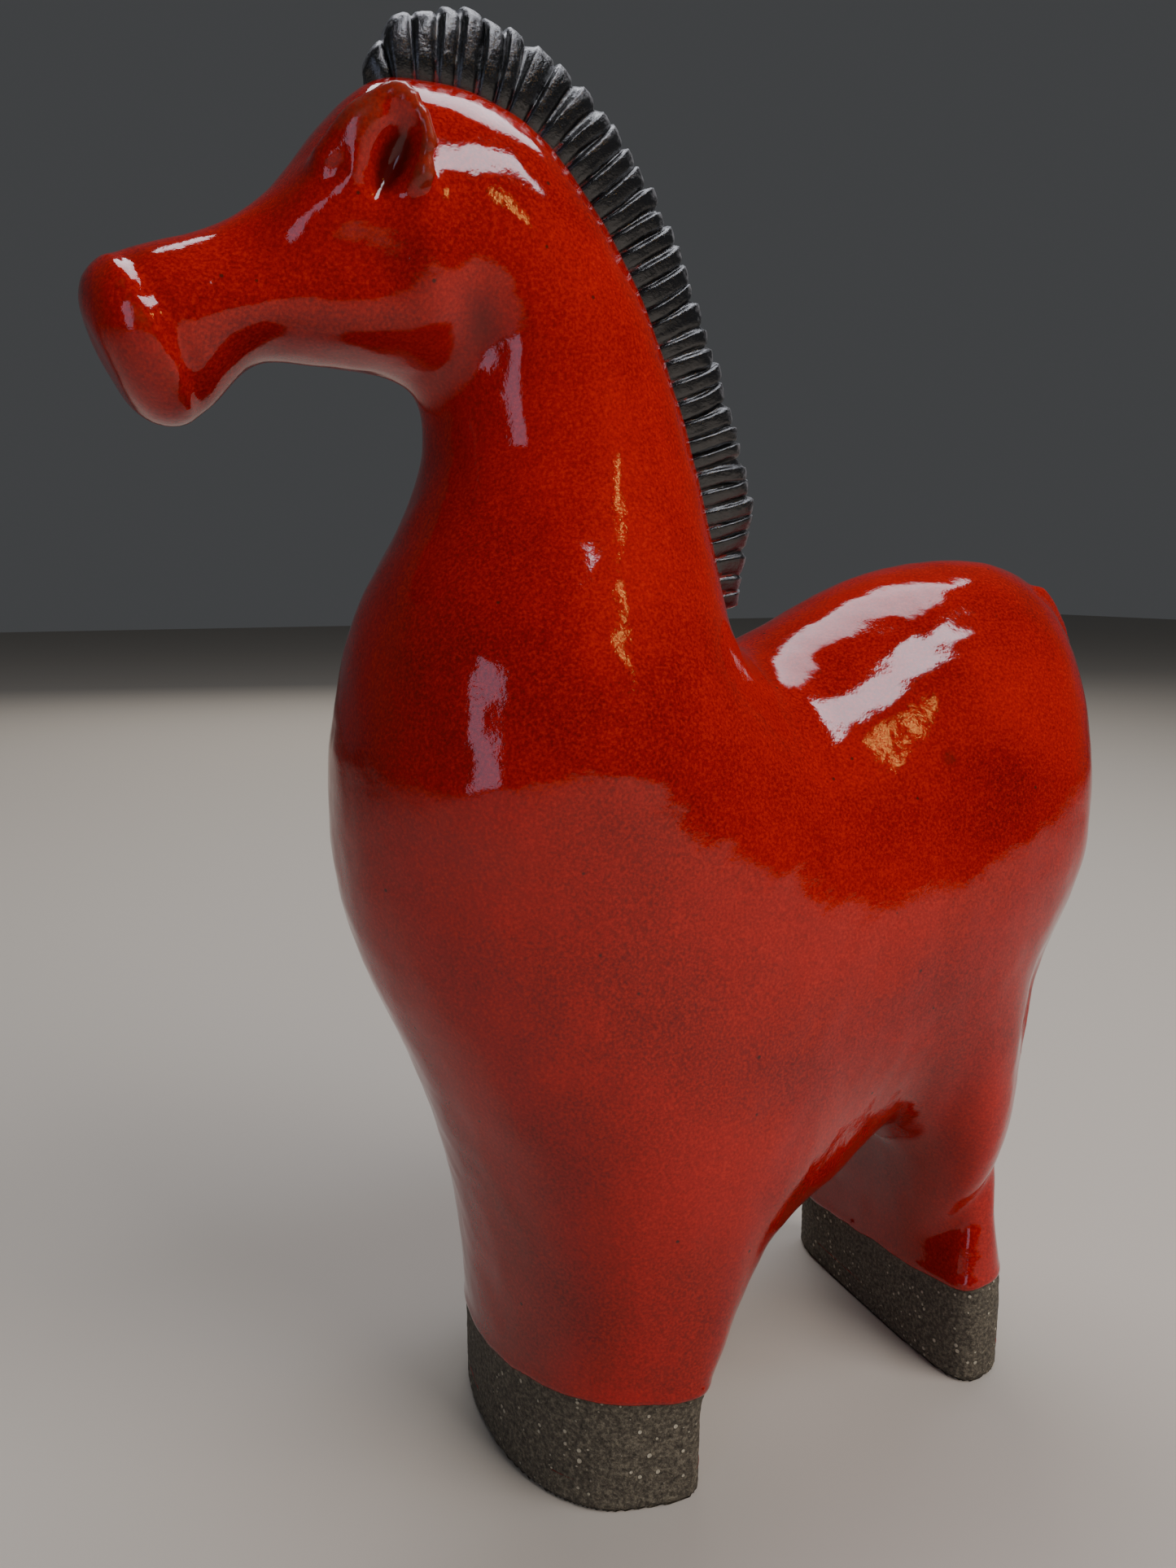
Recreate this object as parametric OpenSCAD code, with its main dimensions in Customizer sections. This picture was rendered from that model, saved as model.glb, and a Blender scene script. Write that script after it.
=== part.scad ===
// Hollow stoneware horse on two slab legs: two pressed half shells joined on the centre plane,
// with the muzzle, ears, combed mane, tail and feet as separate pieces of clay.
// The horse faces -X and its left side faces -Y.

/* [Size] */
// Height from the feet to the top of the mane
height = 300; // [220:10:400]
// Breadth of the body, as a share of the modelled breadth
breadth = 1; // [0.9:0.05:1.15]
// Thickness of the clay walls
wall = 6; // [4:0.5:7]

/* [Feet] */
// Height of the bare clay above the ground
foot_h = 20; // [16:1:26]
// Thickness of the slabs that close the feet
sole_t = 6; // [4:0.5:8]
// Diameter of the firing vent in the fore sole
vent_d = 8; // [5:0.5:11]

/* [Mane] */
// Number of combed ridges
ridges = 36; // [24:1:40]
// Depth of the combed grooves
groove = 1.7; // [0.8:0.1:2.4]
// Height of the mane above the crest
mane_h = 14; // [9:0.5:16]
// Half of the mane's thickness across the horse
mane_w = 6; // [4:0.5:7]

/* [Smoothness] */
// Steps across each rib of the body
across = 14; // [10:2:16]
// Steps between two stations of the body
along = 3; // [2:1:4]

/* [Hidden] */
glaze_red = "#b3200f";
clay_dark = "#4a443e";
mane_dark = "#2b2a2c";

// A station is a straight rib across the side view, from the throat, chest or belly side to the
// crest, back or rump side: [x, z, x, z, half breadth, roundness there, roundness here].
// Roundness 2 is an ellipse and higher is squarer. The three arms meet in the trunk.
chest = [45.5, 150];
arch_top = [171, 60];
notch = [134, 178];
leg_end = [75, foot_h, 114.5, foot_h, 38, 2.2, 6];
hock_end = [183.5, foot_h, 208, foot_h, 35, 4.5, 2.1];

fore_arm = [
    [48.5, 124, 155.5, 56, 47, 1.9, 2.4],
    [57, 102, 140, 49, 46, 1.85, 2.7],
    [65.5, 80, 129, 40, 43.5, 1.8, 3.4],
    [71, 58, 122, 31.5, 41.5, 1.85, 4.2],
    [74, 38, 117, 24.5, 39.5, 2, 5.2],
    leg_end];

hind_arm = [
    [175.5, 57.5, 151, 185, 44, 2.3, 2],
    [178.5, 54, 173, 195, 43.5, 2.6, 2],
    [180.3, 48, 195, 199.3, 43, 3, 2],
    [181.5, 41.5, 214, 197, 42, 3.3, 2],
    [182.2, 36, 229, 183, 40, 3.3, 1.85],
    [182.8, 31, 235, 155, 35, 3.4, 1.6],
    [183, 27.5, 225, 126, 31.5, 3.5, 1.45],
    [183.2, 24.8, 210, 97, 30.5, 3.8, 1.5],
    [183.4, 23, 206, 66, 32.5, 4.2, 1.7],
    [183.5, 21.5, 205.5, 40, 34.5, 4.5, 2],
    hock_end];

neck_arm = [
    [50.5, 183, 130.5, 187.5, 39, 2, 2],
    [60, 201, 127.5, 204, 31.5, 2, 2],
    [66.5, 215, 122.5, 222, 26.5, 2, 2],
    [67.5, 225.5, 116.5, 239.3, 24, 2, 2],
    [64.5, 231.5, 108.5, 255.2, 23.5, 2, 2],
    [58, 233.8, 98.3, 270.2, 23.5, 2, 2],
    [52, 234.2, 85.5, 281.5, 23, 2, 2],
    [46.5, 234.4, 71, 285.4, 21.5, 2, 2],
    [42, 234.6, 57, 284.2, 19.5, 2, 2],
    [38, 234.6, 47, 274.5, 17.2, 2, 2],
    [34.5, 233.6, 38.5, 263.5, 14.8, 2, 2],
    [31, 230.6, 28.5, 256.7, 13.6, 2, 2],
    [26.8, 226, 18.3, 253.2, 14.2, 2, 2],
    [22.8, 222.6, 9.8, 249.8, 15, 2, 2]];

// Half breadth of the trunk along the sides of its triangle that face the fore, hind and neck arms
girth = [47.5, 45, 46];

function head2(s) = [s[0], s[1]];
function tail2(s) = [s[2], s[3]];
function station(a, b, w, p, q) = [a.x, a.y, b.x, b.y, w, p, q];
function spline(a, b, c, d, t) =
    (2 * b + (c - a) * t + (2 * a - 5 * b + 4 * c - d) * t * t + (3 * b - a - 3 * c + d) * t * t * t) / 2;

// Samples a list of stations; before and after are the neighbours that set the end slopes
function sampled(before, list, after) =
    let (s = concat([before], list, [after]))
    [for (i = [1:len(s) - 3], k = [0:along - 1]) spline(s[i - 1], s[i], s[i + 1], s[i + 2], k / along),
     s[len(s) - 2]];

function mirrored(a, b) = 2 * a - b;

// Moves a rib's ends and its breadth inward by the wall's thickness
function inset(s, t) =
    let (u = (tail2(s) - head2(s)) / norm(tail2(s) - head2(s)))
    station(head2(s) + t * u, tail2(s) - t * u, s[4] - t, s[5], s[6]);

trunk_centre = (chest + arch_top + notch) / 3;
function inward(p, t) = p + t * (trunk_centre - p) / norm(trunk_centre - p);

function corners(t) = [inward(chest, t), inward(arch_top, t), inward(notch, t)];
function inset_all(list, t) = t == 0 ? list : [for (s = list) inset(s, t)];

// The three arms as sampled ribs, inset by t, each starting on one side of the trunk's triangle
function arms(t) =
    let (c = corners(t), f = inset_all(fore_arm, t), h = inset_all(hind_arm, t), n = inset_all(neck_arm, t),
         f0 = station(c[0], c[1], girth[0] - t, 2, 2),
         h0 = station(c[1], c[2], girth[1] - t, 2, 2),
         n0 = station(c[0], c[2], girth[2] - t, 2, 2),
         f_before = station(head2(n[0]), head2(h[0]), girth[0] - t, 2, 2),
         h_before = station(tail2(f[0]), mirrored(c[2], tail2(h[0])), girth[1] - t, 2, 2),
         n_before = station(head2(f[0]), mirrored(c[2], tail2(n[0])), girth[2] + 3 - t, 2, 2))
    [sampled(f_before, concat([f0], f), mirrored(f[len(f) - 1], f[len(f) - 2])),
     sampled(h_before, concat([h0], h), mirrored(h[len(h) - 1], h[len(h) - 2])),
     sampled(n_before, concat([n0], n), mirrored(n[len(n) - 1], n[len(n) - 2]))];

function bulge(v, w, p, q) = let (e = v < 0 ? p : q) w * pow(max(0, 1 - pow(abs(v), e)), 1 / e);

// Points of one rib, from its first end to its second, on the left side of the horse. The squarer
// side of a rib is also the broader one.
splay = 0.03;
function rib(s) =
    [for (j = [0:across])
        let (v = -cos(180 * j / across), at = ((1 - v) * head2(s) + (1 + v) * tail2(s)) / 2,
             spread = 1 + splay * (s[6] - s[5]) * v)
        [at.x, j == 0 || j == across ? 0 : -breadth * spread * bulge(v, s[4], s[5], s[6]), at.y]];

// A point of the trunk's triangle, with shares i, j and k of the chest, arch and notch corners.
// The breadth squared is the smooth surface of second order through the three sides' ellipses,
// lowered in the middle so that it leaves each side level.
function trunk_point(i, j, k, f, h, n, g) =
    k == 0 ? f[j] : i == 0 ? h[k] : j == 0 ? n[k] :
    let (raw = [share(i), share(j), share(k)], m = raw / (raw.x + raw.y + raw.z),
         sides = m.x * m.y * g[0] * g[0] + m.y * m.z * g[1] * g[1] + m.z * m.x * g[2] * g[2],
         dip = 8 * m.x * m.y * m.z * (g * g) / 3,
         at = m.x * flat(f[0]) + m.y * flat(f[across]) + m.z * flat(h[across]))
    [at.x, -breadth * sqrt(4 * sides - dip), at.y];
function share(i) = (1 - cos(180 * i / across)) / 2;
function flat(p) = [p.x, p.z];

trunk_rows = [for (i = [across:-1:0], j = [across - i:-1:0]) [i, j, across - i - j]];
function trunk_index(i, j) = let (m = across - i) m * (m + 1) / 2 + (m - j);

// All points of one skin: the fore, hind and neck arms' ribs in turn, then the trunk's triangle
function skin(t) =
    let (a = arms(t), ribs = [for (arm = a) [for (s = arm) rib(s)]])
    concat([for (arm = ribs, r = arm, p = r) p],
           [for (m = trunk_rows)
               trunk_point(m[0], m[1], m[2], ribs[0][0], ribs[1][0], ribs[2][0], [for (g = girth) g - t])]);

outer = skin(0);
inner = skin(wall);
arm_ribs = [for (arm = [fore_arm, hind_arm, neck_arm]) len(arm) * along + 1];
arm_start = [0, arm_ribs[0], arm_ribs[0] + arm_ribs[1]];
trunk_start = (arm_start[2] + arm_ribs[2]) * (across + 1);
function at(arm, r, j) = (arm_start[arm] + r) * (across + 1) + j;

// Two triangles between four corners, turned the other way when asked
function quad(a, b, c, d, turn) = turn ? [[a, b, c], [a, c, d]] : [[a, c, b], [a, d, c]];

function arm_faces(arm, turn) =
    [for (r = [0:arm_ribs[arm] - 2], j = [0:across - 1])
        each quad(at(arm, r, j), at(arm, r + 1, j), at(arm, r + 1, j + 1), at(arm, r, j + 1), turn)];
function trunk_faces(turn) =
    [for (i = [0:across - 1], j = [0:across - 1 - i])
        let (a = trunk_start + trunk_index(i, j), b = trunk_start + trunk_index(i + 1, j),
             c = trunk_start + trunk_index(i, j + 1))
        each concat([turn ? [a, b, c] : [a, c, b]],
            i + j == across - 1 ? [] :
            [let (d = trunk_start + trunk_index(i + 1, j + 1)) turn ? [b, d, c] : [b, c, d]])];
function skin_faces(turn) =
    concat(arm_faces(0, turn), arm_faces(1, turn), arm_faces(2, !turn), trunk_faces(turn));

// The flat rim on the centre plane and the cut ends of the three arms join the two skins
function shift(f, by) = [for (t = f) [for (i = t) i + by]];
function rim_faces(n) =
    [for (arm = [0:2], side = [0, across], r = [0:arm_ribs[arm] - 2])
        let (a = at(arm, r, side), b = at(arm, r + 1, side), turn = (side == 0) != (arm == 2))
        each quad(a, b, b + n, a + n, turn)];
function end_faces(n) =
    [for (arm = [0:2], j = [0:across - 1])
        let (a = at(arm, arm_ribs[arm] - 1, j), b = a + 1)
        each quad(a, b, b + n, a + n, arm != 2)];

module half_shell() {
    n = len(outer);
    polyhedron(points = concat(outer, inner),
        faces = concat(skin_faces(false), shift(skin_faces(true), n), rim_faces(n), end_faces(n)));
}

module left_shell() {
    color(glaze_red) placed() half_shell();
}

module right_shell() {
    color(glaze_red) placed() mirror([0, 1, 0]) half_shell();
}

// A closed solid through rings of points that all have the same number of points. A hollow one
// joins its last ring to its first, and a plain one closes both ends with fans.
function ring_faces(rings, n, hollow) =
    concat([for (r = [0:rings - (hollow ? 1 : 2)], j = [0:n - 1])
                let (a = r * n, b = (r + 1) % rings * n, k = (j + 1) % n)
                each quad(a + j, a + k, b + k, b + j, false)],
           hollow ? [] : [for (j = [1:n - 2]) [0, j, j + 1]],
           hollow ? [] : [for (j = [1:n - 2], last = (rings - 1) * n) [last, last + j + 1, last + j]]);
module loft(rings, hollow = false) {
    polyhedron(points = [for (r = rings, p = r) p],
        faces = ring_faces(len(rings), len(rings[0]), hollow));
}

// Muzzle: a domed round cap on the open end of the nose
muzzle_end = neck_arm[len(neck_arm) - 1];
muzzle_axis = tail2(muzzle_end) - head2(muzzle_end);
muzzle_centre = (tail2(muzzle_end) + head2(muzzle_end)) / 2;
muzzle_lean = atan2(muzzle_axis.y, muzzle_axis.x);
muzzle_r = norm(muzzle_axis) / 2;
muzzle_bulge = 8;
muzzle_steps = 9;
rim_fullness = 0.5;
dome_flatness = 1.15;
muzzle_profile = [for (k = [0:muzzle_steps])
    let (a = 90 * k / muzzle_steps)
    [muzzle_r * pow(cos(a), rim_fullness), muzzle_bulge * pow(sin(a), dome_flatness)]];
module muzzle_cap() {
    color(glaze_red) placed()
        translate([muzzle_centre.x, 0, muzzle_centre.y]) rotate([0, -muzzle_lean, 0])
            rotate_extrude($fn = 48) polygon(concat([[0, 0]], muzzle_profile));
}

// Ears: pinched leaves with a hollow front, from a wide base to a rounded tip
ear_base = [53.5, -20.5, 250];
ear_tip = [56, -25, 275.5];
ear_w = 9.5;
ear_d = 7;
ear_thinning = 0.55;
ear_angle = 25;
ear_inner_w = 0.8;
ear_inner_d = 0.25;
ear_sides = 7;
ear_levels = 9;
ear_top = 0.97;
function ear_turn(p) =
    [p.x * cos(ear_angle) + p.y * sin(ear_angle), p.y * cos(ear_angle) - p.x * sin(ear_angle), 0];
function ear_ring(t) =
    let (c = ear_base + t * (ear_tip - ear_base),
         w = ear_w * sqrt(1 - t * t), d = ear_d * (1 - ear_thinning * t))
    [for (j = [0:ear_sides])
        let (a = 180 * j / ear_sides) c + ear_turn([w * cos(a), d * sin(a)]),
     for (j = [ear_sides - 1:-1:1])
        let (a = 180 * j / ear_sides)
        c + ear_turn([ear_inner_w * w * cos(a), ear_inner_d * d * sin(a)])];
module ear() {
    loft([for (k = [0:ear_levels]) ear_ring(ear_top * k / ear_levels)]);
}
module left_ear() {
    color(glaze_red) placed() ear();
}
module right_ear() {
    color(glaze_red) placed() mirror([0, 1, 0]) ear();
}

// Mane: a strap on the crest from the notch to the forehead, with combed ridges across it
crest_foot = station(chest, notch, 0, 2, 2);
forehead = 9;
crest_stations =
    concat([mirrored(crest_foot, neck_arm[0]), crest_foot], [for (i = [0:forehead]) neck_arm[i]]);
crest_steps = 12;
crest_line = [for (i = [1:len(crest_stations) - 3], k = [0:crest_steps - 1])
    tail2(spline(crest_stations[i - 1], crest_stations[i], crest_stations[i + 1],
                 crest_stations[i + 2], k / crest_steps))];
crest_len = [for (i = 0, d = 0; i < len(crest_line);
    i = i + 1, d = d + (i < len(crest_line) ? norm(crest_line[i] - crest_line[i - 1]) : 0)) d];
crest_x = [for (i = [0:len(crest_line) - 1]) [crest_len[i], crest_line[i].x]];
crest_z = [for (i = [0:len(crest_line) - 1]) [crest_len[i], crest_line[i].y]];
crest_end = crest_len[len(crest_len) - 1];
function crest(d) = [lookup(d, crest_x), lookup(d, crest_z)];

// Each ridge rises slowly from a groove and drops back sharply: [share of step, share of depth]
comb = [[0, 1], [0.4, 0.25], [0.75, 0], [0.9, 0.1]];
mane_side = 8;
mane_root = 3;
mane_start = 4;
mane_step = (crest_end - mane_start - 1) / ridges;
foot_taper = 0.2;
head_taper = 0.08;
tip_share = 0.06;

// Share of its full height that the mane has at a share t of its length
function mane_fullness(t) =
    min(1, pow(t / foot_taper, 0.7), pow((1 - t) / head_taper + tip_share, 0.5));
function mane_ring(d, depth) =
    let (full = mane_fullness(d / crest_end), p = crest(d), slope = crest(d + 0.5) - crest(d - 0.5),
         out = [slope.y, -slope.x] / norm(slope), h = mane_h * full - depth * groove,
         w = (mane_w - 0.6 * depth * groove) * pow(full, 0.6))
    [for (j = [mane_side:-1:0])
        let (a = 180 * j / mane_side, y = w * sign(cos(a)) * pow(abs(cos(a)), 0.7),
             n = h * pow(sin(a), 0.6))
        [p.x + out.x * n, y, p.y + out.y * n],
     for (y = [0.8 * w, -0.8 * w])
        [p.x - out.x * mane_root, y, p.y - out.y * mane_root]];
mane_rings = [for (i = [0:ridges - 1], c = comb)
    mane_ring(mane_start + (i + c[0]) * mane_step, c[1])];
module mane() {
    color(mane_dark) placed() loft(mane_rings);
}

// Tail: a tapered strap laid down the middle of the rump
tail_line = [[217, 195], [226.5, 186.5], [232.5, 175.5], [235.8, 163], [236, 150], [232.5, 137]];
tail_last = len(tail_line) - 1;
tail_w = 5;
tail_t = 3;
tail_sides = 12;
function tail_ring(i) =
    let (p = tail_line[i], slope = tail_line[min(tail_last, i + 1)] - tail_line[max(0, i - 1)],
         out = [-slope.y, slope.x] / norm(slope), w = tail_w * (1 - 0.75 * pow(i / tail_last, 1.5)),
         t = tail_t * (1 - 0.6 * i / tail_last))
    [for (j = [0:tail_sides - 1])
        let (a = 360 * j / tail_sides)
        [p.x + out.x * t * sin(a), w * cos(a), p.y + out.y * t * sin(a)]];
tail_rings = [for (i = [0:tail_last]) tail_ring(i)];
module tail() {
    color(glaze_red) placed() loft(tail_rings);
}

// Feet: bare clay walls under the legs, closed by slabs set inside them
function outline(s) =
    let (half = rib(s), n = len(half))
    [for (p = half) [p.x, p.y], for (j = [n - 2:-1:1]) [half[j].x, -half[j].y]];
// The foot's outline at height z, moved inward by t
function level(s, t, z) = [for (p = outline(inset(s, t))) [p.x, p.y, z]];

// The worn lower edge of the foot: [height, distance moved inward]
foot_edge = [[0, 1.6], [0.5, 0.5], [1.6, 0]];
module foot(s) {
    color(clay_dark) placed()
        loft(concat([for (e = foot_edge) level(s, e[1], e[0])],
                    [level(s, 0, foot_h), level(s, wall, foot_h), level(s, wall, 0)]), hollow = true);
}
module sole(s) {
    linear_extrude(sole_t) polygon(outline(inset(s, wall)));
}
module fore_foot() {
    foot(leg_end);
}
module hind_foot() {
    foot(hock_end);
}
module fore_sole() {
    color(clay_dark) placed() difference() {
        sole(leg_end);
        translate([(leg_end[0] + leg_end[2]) / 2, 0, -1]) cylinder(h = sole_t + 2, d = vent_d, $fn = 48);
    }
}
module hind_sole() {
    color(clay_dark) placed() sole(hock_end);
}

// Stands the modelled horse in the middle of its own length, at its real size
back_x = max([for (r = tail_rings, p = r) p.x]);
nose_x = min([for (p = muzzle_profile)
    muzzle_centre.x - p.y * sin(muzzle_lean) + p.x * cos(muzzle_lean)]);
size = height / max([for (r = mane_rings, p = r) p.z]);
module placed() {
    scale(size) translate([-(nose_x + back_x) / 2, 0, 0]) children();
}

left_shell();
right_shell();
muzzle_cap();
left_ear();
right_ear();
mane();
tail();
fore_foot();
hind_foot();
fore_sole();
hind_sole();
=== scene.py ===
import math

import bmesh
import bpy
import numpy as np
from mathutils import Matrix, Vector, noise
from mathutils.bvhtree import BVHTree


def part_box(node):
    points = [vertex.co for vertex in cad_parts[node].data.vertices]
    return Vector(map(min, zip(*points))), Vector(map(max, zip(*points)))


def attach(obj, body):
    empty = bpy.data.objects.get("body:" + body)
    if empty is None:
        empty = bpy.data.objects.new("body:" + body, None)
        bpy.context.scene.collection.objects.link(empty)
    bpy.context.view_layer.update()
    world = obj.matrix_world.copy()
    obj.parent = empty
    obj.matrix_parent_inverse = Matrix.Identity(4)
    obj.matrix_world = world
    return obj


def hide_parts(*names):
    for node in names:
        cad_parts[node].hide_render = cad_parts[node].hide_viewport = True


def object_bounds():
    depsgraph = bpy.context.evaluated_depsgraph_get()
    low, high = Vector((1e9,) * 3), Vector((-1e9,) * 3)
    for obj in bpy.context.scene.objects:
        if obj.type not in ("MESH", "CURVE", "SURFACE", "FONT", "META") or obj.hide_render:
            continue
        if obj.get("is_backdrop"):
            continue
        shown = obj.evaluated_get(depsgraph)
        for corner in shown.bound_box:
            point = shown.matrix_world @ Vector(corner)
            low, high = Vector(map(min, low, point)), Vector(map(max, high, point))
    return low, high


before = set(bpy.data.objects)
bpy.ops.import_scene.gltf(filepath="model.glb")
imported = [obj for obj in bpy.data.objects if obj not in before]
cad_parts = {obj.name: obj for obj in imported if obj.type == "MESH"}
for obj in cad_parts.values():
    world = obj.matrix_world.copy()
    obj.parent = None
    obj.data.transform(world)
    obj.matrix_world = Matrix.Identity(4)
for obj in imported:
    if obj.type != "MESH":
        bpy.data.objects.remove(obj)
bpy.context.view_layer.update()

mm = 0.001


# small helpers

def linearColour(hexText):
    # sRGB hex to linear red, green, blue, alpha
    parts = [int(hexText[i:i + 2], 16) / 255 for i in (1, 3, 5)]
    return [p / 12.92 if p <= 0.04045 else ((p + 0.055) / 1.055) ** 2.4 for p in parts] + [1.0]


def addNode(tree, kind, inputs=None, stops=None, **settings):
    # one node with its settings, and its inputs either linked or set
    node = tree.nodes.new(kind)
    for name, value in settings.items():
        setattr(node, name, value)
    for key, value in (inputs or {}).items():
        if isinstance(value, bpy.types.NodeSocket):
            tree.links.new(value, node.inputs[key])
        else:
            node.inputs[key].default_value = value
    if stops:
        ramp = node.color_ramp.elements
        while len(ramp) < len(stops):
            ramp.new(0.5)
        for element, (place, colour) in zip(ramp, stops):
            element.position = place
            element.color = linearColour(colour) if isinstance(colour, str) else [colour] * 3 + [1]
    return node


def newMaterial(name):
    material = bpy.data.materials.new(name)
    material.use_nodes = True
    tree = material.node_tree
    tree.nodes.clear()
    return material, tree


def smoothStep(t):
    t = np.clip(t, 0, 1)
    return t * t * (3 - 2 * t)


def weldedCad(*names):
    # a copy of some CAD nodes with their shared points joined
    bm = bmesh.new()
    for name in names:
        bm.from_mesh(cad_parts[name].data)
    bmesh.ops.remove_doubles(bm, verts=bm.verts, dist=2e-6)
    return bm


def newObject(name, bm):
    mesh = bpy.data.meshes.new(name)
    bm.to_mesh(mesh)
    bm.free()
    obj = bpy.data.objects.new(name, mesh)
    bpy.context.scene.collection.objects.link(obj)
    return obj


def applyModifiers(obj):
    graph = bpy.context.evaluated_depsgraph_get()
    mesh = bpy.data.meshes.new_from_object(obj.evaluated_get(graph))
    obj.modifiers.clear()
    old = obj.data
    obj.data = mesh
    bpy.data.meshes.remove(old)


def voxelRemesh(obj, size):
    remesh = obj.modifiers.new("remesh", "REMESH")
    remesh.mode = "VOXEL"
    remesh.voxel_size = size
    remesh.use_smooth_shade = True
    applyModifiers(obj)


def getPoints(mesh, what="co"):
    values = np.zeros(len(mesh.vertices) * 3, np.float32)
    if what == "normal":
        mesh.vertex_normals.foreach_get("vector", values)
    else:
        mesh.vertices.foreach_get("co", values)
    return values.reshape(-1, 3).astype(float)


def setPoints(mesh, points):
    mesh.vertices.foreach_set("co", points.astype(np.float32).ravel())
    mesh.update()


def neighbourMean(points, edges):
    count = len(points)
    degree = np.maximum(np.bincount(edges.ravel(), minlength=count), 1)
    mean = np.zeros_like(points)
    for axis in range(points.shape[1]):
        mean[:, axis] = (np.bincount(edges[:, 0], points[edges[:, 1], axis], count)
                         + np.bincount(edges[:, 1], points[edges[:, 0], axis], count)) / degree
    return mean


def getEdges(mesh):
    edges = np.zeros(len(mesh.edges) * 2, np.int32)
    mesh.edges.foreach_get("vertices", edges)
    return edges.reshape(-1, 2)


def relax(mesh, rounds, keep=None):
    # smooths without shrinking: a step inward, then almost the same step outward
    points, edges = getPoints(mesh), getEdges(mesh)
    weight = np.ones(len(points)) if keep is None else keep
    for _ in range(rounds):
        for step in (0.5, -0.52):
            points += (neighbourMean(points, edges) - points) * step * weight[:, None]
    setPoints(mesh, points)


def soften(mesh, rounds, share):
    # takes out broad creases and keeps the form: what a second pass loses is given back
    points, edges = getPoints(mesh), getEdges(mesh)
    once = points.copy()
    for _ in range(rounds):
        once += (neighbourMean(once, edges) - once) * 0.8
    twice = once.copy()
    for _ in range(rounds):
        twice += (neighbourMean(twice, edges) - twice) * 0.8
    setPoints(mesh, points + (2 * once - twice - points) * share[:, None])


def waves(points, size, seed, octaves=2):
    # smooth noise from -1 to 1 at every point, with lumps of about this size
    shift = Vector((seed * 3.1, seed * 7.7, seed * 1.3))
    return np.array([noise.fractal(Vector(p) / size + shift, 0.8, 2.0, octaves,
                                   noise_basis="PERLIN_ORIGINAL") for p in points])


def setAttribute(mesh, name, values):
    layer = mesh.attributes.get(name) or mesh.attributes.new(name, "FLOAT", "POINT")
    layer.data.foreach_set("value", np.asarray(values, np.float32))


def shadeSmooth(obj):
    obj.data.polygons.foreach_set("use_smooth", [True] * len(obj.data.polygons))


# the camera comes first, a little higher than the horse's withers

camera = {
    "place": (-0.1235, -0.2335, 0.1968),
    "aim": (0.400, 0.899, -0.179),
    "lens": 27.0,
    "sensor": 36,
    "nearest": 0.01,
}
camData = bpy.data.cameras.new("camera")
camData.lens = camera["lens"]
camData.sensor_width = camera["sensor"]
camData.clip_start = camera["nearest"]
camObject = bpy.data.objects.new("camera", camData)
camObject.location = camera["place"]
camObject.rotation_mode = "QUATERNION"
camObject.rotation_quaternion = Vector(camera["aim"]).to_track_quat("-Z", "Y")
bpy.context.scene.collection.objects.link(camObject)
bpy.context.scene.camera = camObject

# materials

glaze = {
    "deep": "#620704",  # where the glaze is thick
    "body": "#990e09",
    "bright": "#c4230f",  # crystals that break through the surface
    "cloudDark": "#640805",  # broad clouds, from pouring it on unevenly
    "cloudLight": "#a8130b",
    "cloudShare": 0.45,
    "pooled": "#5c0a05",  # where it has run into a hollow
    "thin": "#7c3620",  # iron brown where it thins over an edge
    "thinShare": 0.7,
    "speck": "#3a1610",
    "grain": 0.6 * mm,  # real crystals are 0.3 mm; drawn coarser so that they show
    "cloud": 38 * mm,
    "breakUp": 1.6 * mm,  # the thin edges are ragged at this size
    "speckGap": 9 * mm,
    "spot": (0.048, -0.040, 0.158),  # one larger brown spot, on the left flank
    "peel": 3.5 * mm,  # orange peel
    "peelDepth": 0.08 * mm,
    "roughness": 0.07,
    "thinRoughness": 0.35,
    "refraction": 1.52,
}


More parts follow.
